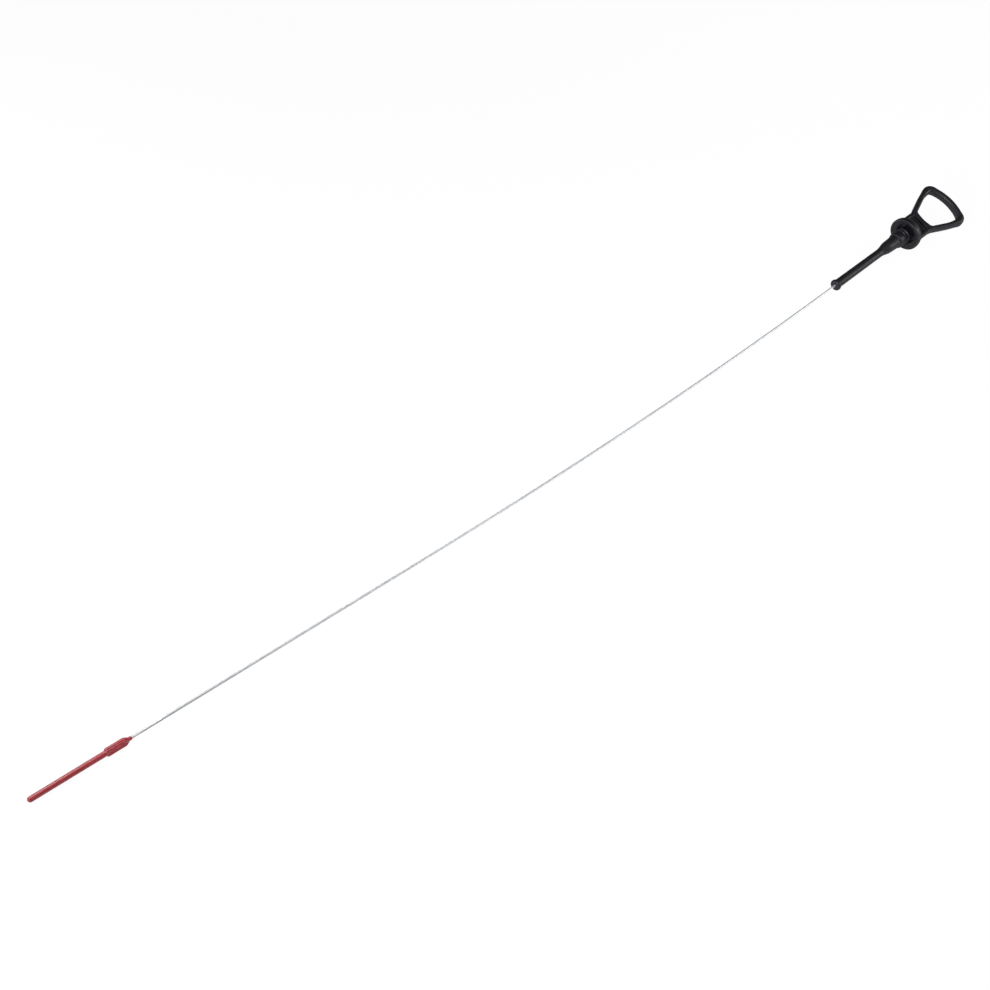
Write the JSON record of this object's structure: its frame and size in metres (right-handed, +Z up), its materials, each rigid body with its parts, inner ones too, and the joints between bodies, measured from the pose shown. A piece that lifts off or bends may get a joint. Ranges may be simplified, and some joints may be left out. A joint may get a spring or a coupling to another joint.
{
  "type": "engine oil dipstick",
  "caption": "Engine oil dipstick: a black moulded pull loop with cap and tube plug, a long bowed steel wire and a red ribbed gauge tip.",
  "frame": {"origin": "middle of the plug's round wall, on the handle's axis", "axes": "+X along the stick towards the pull loop, +Z up from the table that the stick lies on, +Y across"},
  "size_m": [0.9124, 0.051, 0.0284],
  "materials": {
    "handle": "satin moulded black plastic with a faint violet cast",
    "wire": "bright drawn spring steel wire",
    "gauge_tip": "semi-gloss red moulded plastic"
  },
  "bodies": {
    "root": {"handle": "handle", "wire": "wire", "gauge_tip": "gauge_tip"}
  },
  "joints": []
}
